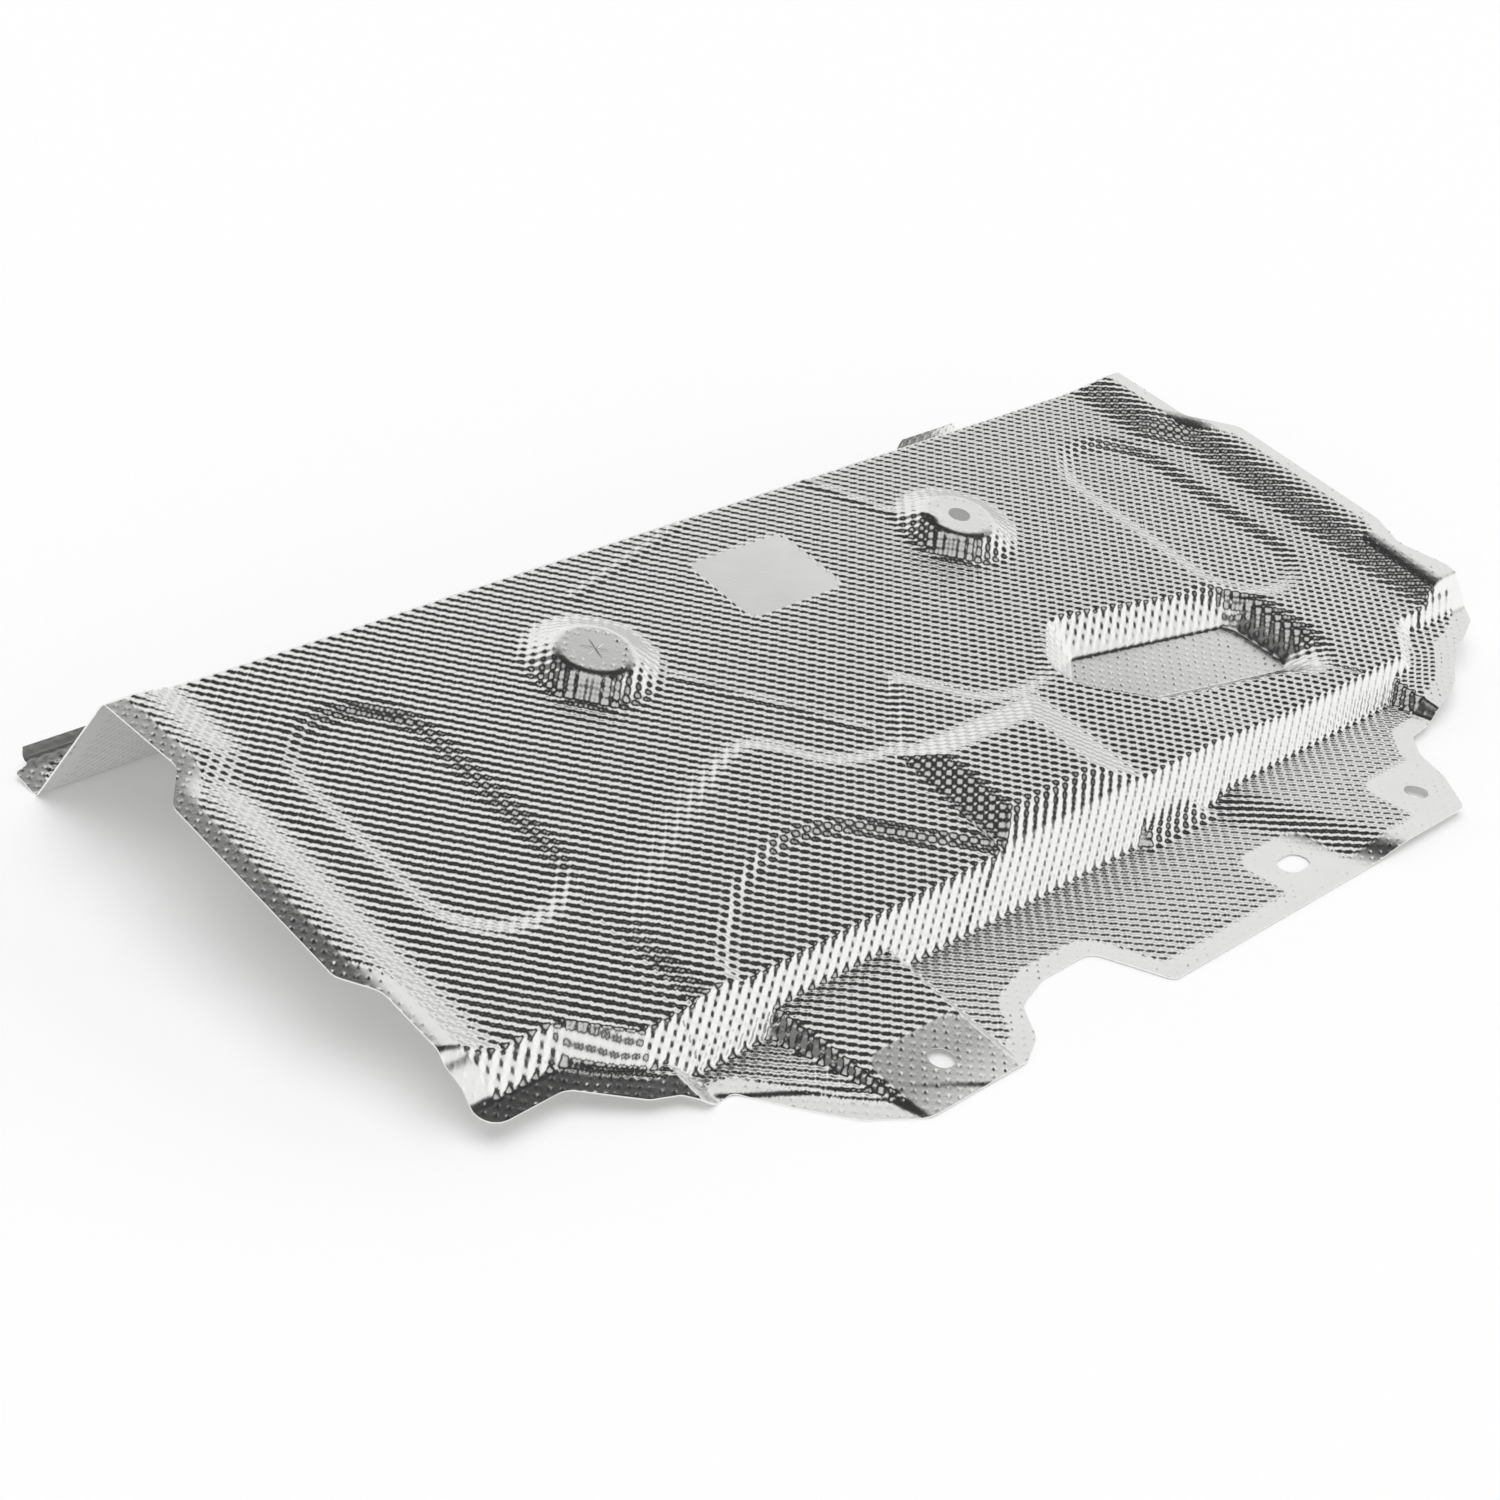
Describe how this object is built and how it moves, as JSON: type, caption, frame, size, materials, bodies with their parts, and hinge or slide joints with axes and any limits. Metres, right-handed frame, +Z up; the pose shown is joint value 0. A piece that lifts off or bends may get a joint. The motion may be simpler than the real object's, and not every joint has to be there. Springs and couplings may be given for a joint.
{
  "type": "heat shield",
  "caption": "Pressed and folded embossed aluminium sheet with a deep rear wall, round bosses, long recesses, a pocket and a drilled front flange.",
  "frame": {"origin": "middle of the sheet's box, on the floor it lies on", "axes": "+X along the ridge and the front flange, +Y from the front flange to the rear wall, +Z up"},
  "size_m": [0.6314, 0.3814, 0.0656],
  "materials": {
    "embossed_aluminium": "bright mill finish, embossed all over with small square nubs, flattened along the edges and round the holes"
  },
  "bodies": {
    "root": {"shield": "embossed_aluminium"}
  },
  "joints": []
}
